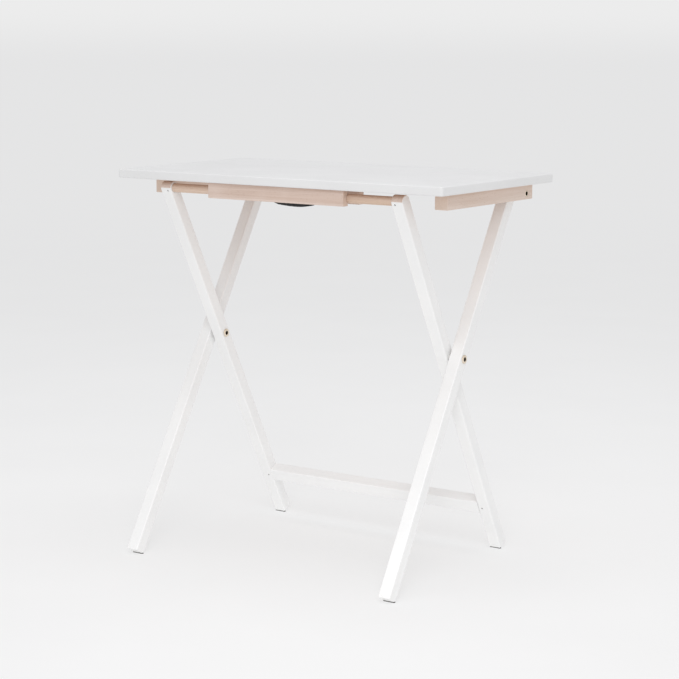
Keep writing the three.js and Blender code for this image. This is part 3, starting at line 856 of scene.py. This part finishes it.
def make_rails():
    """The front rail has a cove for the crossbar; the rear rail is plain."""
    node = "catch_rail_front"
    low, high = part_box(node)
    centre = middle(node)
    wall = on_catch(FRONT_WALL_ANGLE)
    cove_top = math.acos((high.y - DOWEL.y) / CATCH_RADIUS)
    wall_end = wall[1] - FRONT_SLOPE * (high.y - wall[0])
    outline = [(low.y, low.z), (high.y, low.z), (high.y, wall_end)]
    cove_start = len(outline)
    seat = (DOWEL.y, DOWEL.z)
    outline += arc(seat, CATCH_RADIUS, FRONT_WALL_ANGLE, cove_top, COVE_STEPS)
    cove_end = len(outline)
    outline += [(high.y, high.z), (low.y, high.z)]
    bm = prism([(y - centre.y, z - centre.z) for y, z in outline], low.x, high.x)
    turn_to_z = Matrix(((0, 1, 0, 0), (0, 0, 1, 0), (1, 0, 0, 0), (0, 0, 0, 1)))
    bmesh.ops.transform(bm, matrix=turn_to_z, verts=bm.verts)
    bm.verts.ensure_lookup_table()
    soft = []
    for edge in bm.edges:
        a, b = edge.verts
        along = abs(a.co.z - b.co.z) > high.x
        in_cove = cove_start - 1 <= a.index % len(outline) < cove_end
        if not along or not in_cove:
            soft.append(edge)
    soften(bm, soft, RAIL_EDGE, 3)
    front = finish_piece(node, bm, along_x(centre.y, centre.z), FRONT_RAIL_SHIFT)
    carve(front, [screw_hole(f"rail_screw_front_{hand}") for hand in SIDES])
    settle(front, node)
    screws = [screw_hole(f"rail_screw_rear_{hand}") for hand in SIDES]
    slab("catch_rail_rear", RAIL_EDGE, "x", REAR_RAIL_SHIFT, screws)


CLIP_HALF_WIDTH = 30.5 * MM
CLIP_RAMP_END = 3 * MM  # the ramp ends this far below the rails
CLIP_LIP_DEPTH = 9.5 * MM
CLIP_LIP_RISE = 3.5 * MM  # from the middle of the lip's curved edge to its ends
CLIP_LIP_BEVEL = (3 * MM, 4 * MM)
CLIP_EDGE = 0.7 * MM
EAR_THICKNESS = 3 * MM
EAR_HALF_DEPTH = 8.85 * MM
EAR_AHEAD = 0.15 * MM  # of the ears' middle, before their screws
EAR_CORNER = 5 * MM
EAR_EDGE = 0.5 * MM
EAR_SINK_START = 0.6 * MM
EAR_SINK_DEPTH = 3.2 * MM
TRIM_PAST = 10 * MM  # the lip's trimmer reaches this far past its ends and below it
TRIM_HALF_DEPTH = 60 * MM
GRIP_GROOVES = 7  # across the lip, for the finger
GRIP_SPACING = 9 * MM
GRIP_RADIUS = 1.1 * MM
GRIP_HALF_LENGTH = 30 * MM
GRIP_SHY = 0.5 * MM  # a groove's axis is this far below the lip's edge


def make_clip():
    """The catch: a seat over the crossbar, a ramp behind it, a curved finger lip and two ears."""
    node = "catch_clip"
    low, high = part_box(node)
    rail_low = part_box("catch_rail_rear")[0]
    rear = rail_low.y - AIR
    lip_top = rail_low.z - AIR
    ramp_end = rail_low.z - CLIP_RAMP_END
    ramp_top = on_catch(REAR_WALL_ANGLE)
    outline = [(low.y, high.z), (low.y, DOWEL.z + CATCH_RADIUS)]
    outline += arc((DOWEL.y, DOWEL.z), CATCH_RADIUS, math.pi / 2, REAR_WALL_ANGLE, 8)
    outline.append((ramp_top[0] + (ramp_top[1] - ramp_end) / REAR_SLOPE, ramp_end))
    outline.append((high.y - CLIP_LIP_DEPTH, low.z))
    outline.append((high.y - CLIP_LIP_BEVEL[0], low.z))
    outline.append((high.y, low.z + CLIP_LIP_BEVEL[1]))
    outline += [(high.y, lip_top), (rear, lip_top), (rear, high.z)]
    bm = prism(outline, -CLIP_HALF_WIDTH, CLIP_HALF_WIDTH, CLIP_EDGE, 3)
    piece = finish_piece(node, bm, Matrix.Identity(4))
    carve(piece, clip_cutters(low))
    half = EAR_THICKNESS / 2
    ear_centre = Vector((0, middle("clip_screw_left").y - EAR_AHEAD, high.z - half))
    outline = rounded_rectangle(high.x, EAR_HALF_DEPTH, EAR_CORNER, 6)
    ears = prism(outline, -half, half, EAR_EDGE, 2)
    combine(piece, [(ears, axes(ear_centre, AXIS_Z, AXIS_X, AXIS_Y))], "UNION")
    carve(piece, [clip_screw_hole(f"clip_screw_{hand}") for hand in SIDES])
    settle(piece, node)


def clip_cutters(low):
    """What leaves the lip's lower edge as a shallow arc, and the finger grooves across it."""
    radius = (CLIP_HALF_WIDTH**2 + CLIP_LIP_RISE**2) / (2 * CLIP_LIP_RISE)
    past = CLIP_HALF_WIDTH + TRIM_PAST
    below = low.z - TRIM_PAST
    sweep = math.asin(past / radius)
    outline = [(-past, below), (past, below)]
    outline += arc((0, low.z + radius), radius, -math.pi / 2 + sweep, -math.pi / 2 - sweep, 40)
    trimmer = prism(outline, -TRIM_HALF_DEPTH, TRIM_HALF_DEPTH)
    cutters = [(trimmer, axes(Vector((0, DOWEL.y, 0)), AXIS_Y, AXIS_X, AXIS_Z))]
    for i in range(GRIP_GROOVES):
        x = (i - (GRIP_GROOVES - 1) / 2) * GRIP_SPACING
        arc_height = radius - math.sqrt(radius**2 - x**2)
        origin = Vector((x, DOWEL.y + GRIP_HALF_LENGTH, low.z + arc_height - GRIP_SHY))
        groove = rod(GRIP_RADIUS, 2 * GRIP_HALF_LENGTH, 20)
        cutters.append((groove, axes(origin, AXIS_X, AXIS_Z, -AXIS_Y)))
    return cutters


def clip_screw_hole(node):
    """The hole in an ear, with a countersink for the screw's head."""
    low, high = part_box(node)
    mouth = (high.x - low.x) / 2 + SINK_AIR
    reach = 2 * EAR_THICKNESS
    profile = [(0, -OUT), (mouth, -OUT), (mouth, EAR_SINK_START)]
    profile += [(SCREW_HOLE_RADIUS, EAR_SINK_DEPTH), (SCREW_HOLE_RADIUS, reach), (0, reach)]
    return lathe(profile, 32), upright_at(node, low.z)


SCREW_SOFT = 0.3 * MM  # cut off the edge of a screw's head
THREAD_PITCH = 1.4 * MM
THREAD_START = 3.6 * MM
THREAD_ROOT = 1.35 * MM
THREAD_CREST = 1.95 * MM
SCREW_PLAIN = 8 * MM  # of the length, the head and the point, which have no thread
SCREW_POINT = 3 * MM
SCREW_NECK = [(2.0 * MM, 2.8 * MM), (1.6 * MM, 3.2 * MM)]  # from the head to the shank
SCREW_TIP_RADIUS = 1.3 * MM  # where the point starts
CROSS_TURN = math.pi / 5  # how far the cross recess happens to be turned
CROSS_HALF_WIDTH = 0.42 * MM
CROSS_MOUTH = 1.9 * MM  # half the cross's length at the head's face
CROSS_FLOOR = 0.7 * MM  # and at its bottom
CROSS_DEPTH = 1.5 * MM


def screw_profile(head, length):
    """The lathe profile of a countersunk wood screw."""
    profile = [(0, 0), (head - SCREW_SOFT, 0), (head, SCREW_SOFT), (head, 2 * SCREW_SOFT)]
    profile += SCREW_NECK
    for i in range(int((length - SCREW_PLAIN) / THREAD_PITCH)):
        z = THREAD_START + i * THREAD_PITCH
        profile += [(THREAD_ROOT, z), (THREAD_CREST, z + 0.5 * THREAD_PITCH)]
    profile += [(SCREW_TIP_RADIUS, length - SCREW_POINT), (0, length)]
    return profile


def make_screws():
    """Countersunk wood screws with a cross recess, heads down."""
    slot_outline = [
        (-CROSS_MOUTH, -OUT),
        (CROSS_MOUTH, -OUT),
        (CROSS_FLOOR, CROSS_DEPTH),
        (-CROSS_FLOOR, CROSS_DEPTH),
    ]
    for node in SCREWS:
        low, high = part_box(node)
        profile = screw_profile((high.x - low.x) / 2, high.z - low.z)
        place = upright_at(node, low.z)
        piece = finish_piece(node, lathe(profile, 28), place)
        cross = []
        for angle in (CROSS_TURN, CROSS_TURN + math.pi / 2):
            arm = prism(slot_outline, -CROSS_HALF_WIDTH, CROSS_HALF_WIDTH)
            cross.append((arm, place @ Matrix.Rotation(angle, 4, "Z")))
        carve(piece, cross)
        settle(piece, node)


# ------------------------------------------------------------------ bolts, nuts, rings

HEAD_SOFT = 0.55 * MM  # radius of the rounding round a head's face
HEAD_CROWN = 0.12 * MM  # how far a head's face falls away towards its rim


def head_profile(radius, thickness):
    """A low round head that starts on the axis at distance 0, with its face there."""
    rim = radius - HEAD_SOFT
    profile = [(0, 0), (radius * 0.5, 0.0), (rim, HEAD_CROWN)]
    for eighths in (1, 2, 3, 4):
        angle = eighths * math.pi / 8
        drop = HEAD_SOFT * (1 - math.cos(angle))
        profile.append((rim + HEAD_SOFT * math.sin(angle), HEAD_CROWN + drop))
    profile.append((radius, thickness))
    return profile


KEY_RADIUS = 2.7 * MM  # of the hexagon socket, to its corners
KEY_MOUTH = 3.5 * MM  # about the radius of the countersink round it
KEY_DEPTH = 2.4 * MM
NUT_WALL = 1.8 * MM  # between a nut's socket and its thread
KEY_TURN = 0.35  # how far the socket happens to be turned, in radians
BOLT_END_SOFT = 0.5 * MM


def socket_cutters(place):
    """A hexagon socket with a small countersink, in a head whose face is at local Z = 0."""
    hexagon = [(0, -OUT), (KEY_RADIUS, -OUT), (KEY_RADIUS, KEY_DEPTH), (0, KEY_DEPTH)]
    mouth = [(0, -OUT), (KEY_MOUTH + OUT, -OUT), (2 * MM, 2 * MM), (0, 2 * MM)]
    turned = place @ Matrix.Rotation(KEY_TURN, 4, "Z")
    return [(lathe(hexagon, 6), turned), (lathe(mouth, 40), place)]


def darken_socket(piece, place):
    """Painted shade in the socket: its walls, floor and countersink get a near-black metal."""
    piece.data.materials.append(SOCKET_SHADE)
    to_head = place.inverted() @ piece.matrix_world
    for face in piece.data.polygons:
        spot = to_head @ face.center
        deep = 0.2 * MM < spot.z < KEY_DEPTH + 0.1 * MM
        if deep and math.hypot(spot.x, spot.y) < KEY_MOUTH:
            face.material_index = 1


def make_bolt(node, centre, radius, shank, side, thread=None):
    """side is 1 where the head faces +X. A nut has a thread: its barrel's hole has this radius."""
    low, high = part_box(node)
    length = high.x - low.x
    tip = length - BOLT_END_SOFT
    profile = head_profile(radius, HEAD_THICKNESS)
    profile += [(shank, HEAD_THICKNESS), (shank, tip), (shank - BOLT_END_SOFT, length), (0, length)]
    outside = high.x if side > 0 else low.x
    inward = Vector((-side, 0, 0))
    origin = Vector((outside, centre.y, centre.z))
    place = axes(origin, AXIS_Y, inward.cross(AXIS_Y), inward)
    piece = finish_piece(node, lathe(profile, 64), place)
    carve(piece, socket_cutters(place))
    darken_socket(piece, place)
    if thread:
        wall = KEY_DEPTH + NUT_WALL
        past = length + OUT
        hole = lathe([(0, wall), (thread, wall), (thread, past), (0, past)], 40)
        carve(piece, [(hole, place)])
    settle(piece, node)


PIVOT_RING_BORE = BARREL_RADIUS + 0.4 * MM
HINGE_RING_BORE = SHANK_RADIUS + 0.4 * MM
RING_SOFT = 0.5 * MM


def make_fasteners():
    """The bolts, nuts and rings of the pivots and the hinges."""
    thread = SHANK_RADIUS + AIR
    for hand, side in SIDES.items():
        make_bolt(f"pivot_bolt_{hand}", PIVOT, PIVOT_HEAD_RADIUS, SHANK_RADIUS, side)
        make_bolt(f"pivot_nut_{hand}", PIVOT, PIVOT_HEAD_RADIUS, BARREL_RADIUS, -side, thread)
        make_bolt(f"hinge_bolt_{hand}", HINGE, HINGE_HEAD_RADIUS, SHANK_RADIUS, side)
        make_bolt(f"hinge_nut_{hand}", HINGE, HINGE_HEAD_RADIUS, BARREL_RADIUS, -side, thread)
        make_ring(f"pivot_spacer_{hand}", PIVOT, PIVOT_RING_BORE)
        make_ring(f"hinge_washer_{hand}", HINGE, HINGE_RING_BORE)


def make_ring(node, centre, bore):
    """A washer or spacer, with its edges cut off."""
    low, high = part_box(node)
    radius = (high.z - low.z) / 2
    half = (high.x - low.x) / 2
    soft = min(RING_SOFT, half / 2)
    near, far = half - soft, half
    profile = [(bore, -near), (bore + soft, -far), (radius - soft, -far), (radius, -near)]
    profile += [(radius, near), (radius - soft, far), (bore + soft, far), (bore, near)]
    place = along_x(centre.y, centre.z, middle(node).x)
    settle(finish_piece(node, lathe(profile, 56), place), node)


# ------------------------------------------------------------------ floor, light

ROOM_RADIUS = 40.0
FAR_TONE = (0.783, 0.783, 0.787)  # of the floor far away and of the foot of the wall
WALL_TONE = (0.84, 0.84, 0.84)
CEILING_TONE = (0.64, 0.64, 0.65)
WALL_RISE = (0.0, 1.3)  # heights between which the wall goes from FAR_TONE to WALL_TONE
CEILING_RISE = (2.0, 12.0)  # and from WALL_TONE to CEILING_TONE
FLOOR_FADE = (1.2, 7.0)  # distances between which the floor fades into FAR_TONE
FLOOR_GLOW = 0.47
FLOOR_DARK = (0.44, 0.44, 0.44)
FLOOR_LIGHT = (0.45, 0.45, 0.45)
FLOOR_ROUGHNESS = 0.9


def make_room():
    """A round white room: a pale floor that fades into a softly glowing wall and ceiling."""
    bm = lathe([(0, 0), *arc((0, 0), ROOM_RADIUS, 0, math.pi / 2, 24)], 96)
    mesh = bpy.data.meshes.new("room")
    bm.to_mesh(mesh)
    bm.free()
    room = bpy.data.objects.new("room", mesh)
    bpy.context.scene.collection.objects.link(room)
    n = Nodes("room")
    speckle = n.noise(n.place, scale=3, detail=3)
    tone = n.mix(n.ramp(speckle, 0.0, 1.0, 0.3, 0.7), FLOOR_DARK, FLOOR_LIGHT)
    n.link(tone, n.shader.inputs["Base Color"])
    n.shader.inputs["Roughness"].default_value = FLOOR_ROUGHNESS
    n.shader.inputs["Specular IOR Level"].default_value = 0.0
    n.shader.inputs["Emission Color"].default_value = (1.0, 1.0, 1.0, 1.0)
    n.shader.inputs["Emission Strength"].default_value = FLOOR_GLOW
    height = n.parts(n.place)[2]
    wall = n.mix(n.ramp(height, 0.0, 1.0, *WALL_RISE), FAR_TONE, WALL_TONE)
    glow = n.add("ShaderNodeEmission")
    n.feed(glow, {"Color": n.mix(n.ramp(height, 0.0, 1.0, *CEILING_RISE), wall, CEILING_TONE)})
    distance = n.add("ShaderNodeVectorMath", operation="LENGTH")
    n.link(n.place, distance.inputs[0])
    blend = n.add("ShaderNodeMixShader")
    n.link(n.ramp(distance.outputs["Value"], 0.0, 1.0, *FLOOR_FADE), blend.inputs[0])
    n.link(n.shader.outputs[0], blend.inputs[1])
    n.link(glow.outputs[0], blend.inputs[2])
    n.link(blend.outputs[0], n.tree.nodes["Material Output"].inputs["Surface"])
    n.material.cycles.emission_sampling = "NONE"
    mesh.materials.append(n.material)


def add_light(name, kind, place, target, power, **settings):
    """A lamp at one point that shines at another."""
    data = bpy.data.lights.new(name, kind)
    data.energy = power
    for key, value in settings.items():
        setattr(data, key, value)
    light = bpy.data.objects.new(name, data)
    direction = Vector(target) - Vector(place)
    turn = direction.to_track_quat("-Z", "Y").to_matrix().to_4x4()
    light.matrix_world = Matrix.Translation(place) @ turn
    light.visible_camera = False
    bpy.context.scene.collection.objects.link(light)


# Each light's place, the point it shines at, and its power in watts.
KEY_LIGHT = ((1.7, -2.4, 2.5), (0, 0, 0.3), 28)
OVERHEAD_LIGHT = ((0.2, 0, 3.0), (0, 0, 0), 17)
LOW_LIGHT = ((1.5, -2.6, 0.7), (0, 0, -0.08), 110)
LOW_SPREAD = math.radians(26)


def make_light():
    """Two big soft lights, high in front and overhead, and a low one from the front right that
    fades up the legs."""
    world = bpy.data.worlds.new("studio")
    world.use_nodes = True
    background = world.node_tree.nodes["Background"]
    background.inputs["Color"].default_value = (*CEILING_TONE, 1.0)
    bpy.context.scene.world = world
    add_light("key", "AREA", *KEY_LIGHT, shape="DISK", size=2.2)
    add_light("overhead", "AREA", *OVERHEAD_LIGHT, shape="DISK", size=2.0)
    low = {"spot_size": LOW_SPREAD, "spot_blend": 1.0, "shadow_soft_size": 0.5}
    add_light("low", "SPOT", *LOW_LIGHT, **low)
    bpy.context.scene.view_settings.view_transform = "Standard"


make_camera()
make_legs()
make_nails()
make_pads()
make_dowel()
make_stretcher()
make_tabletop()
make_cleats()
make_rails()
make_clip()
make_screws()
make_fasteners()
make_room()
make_light()
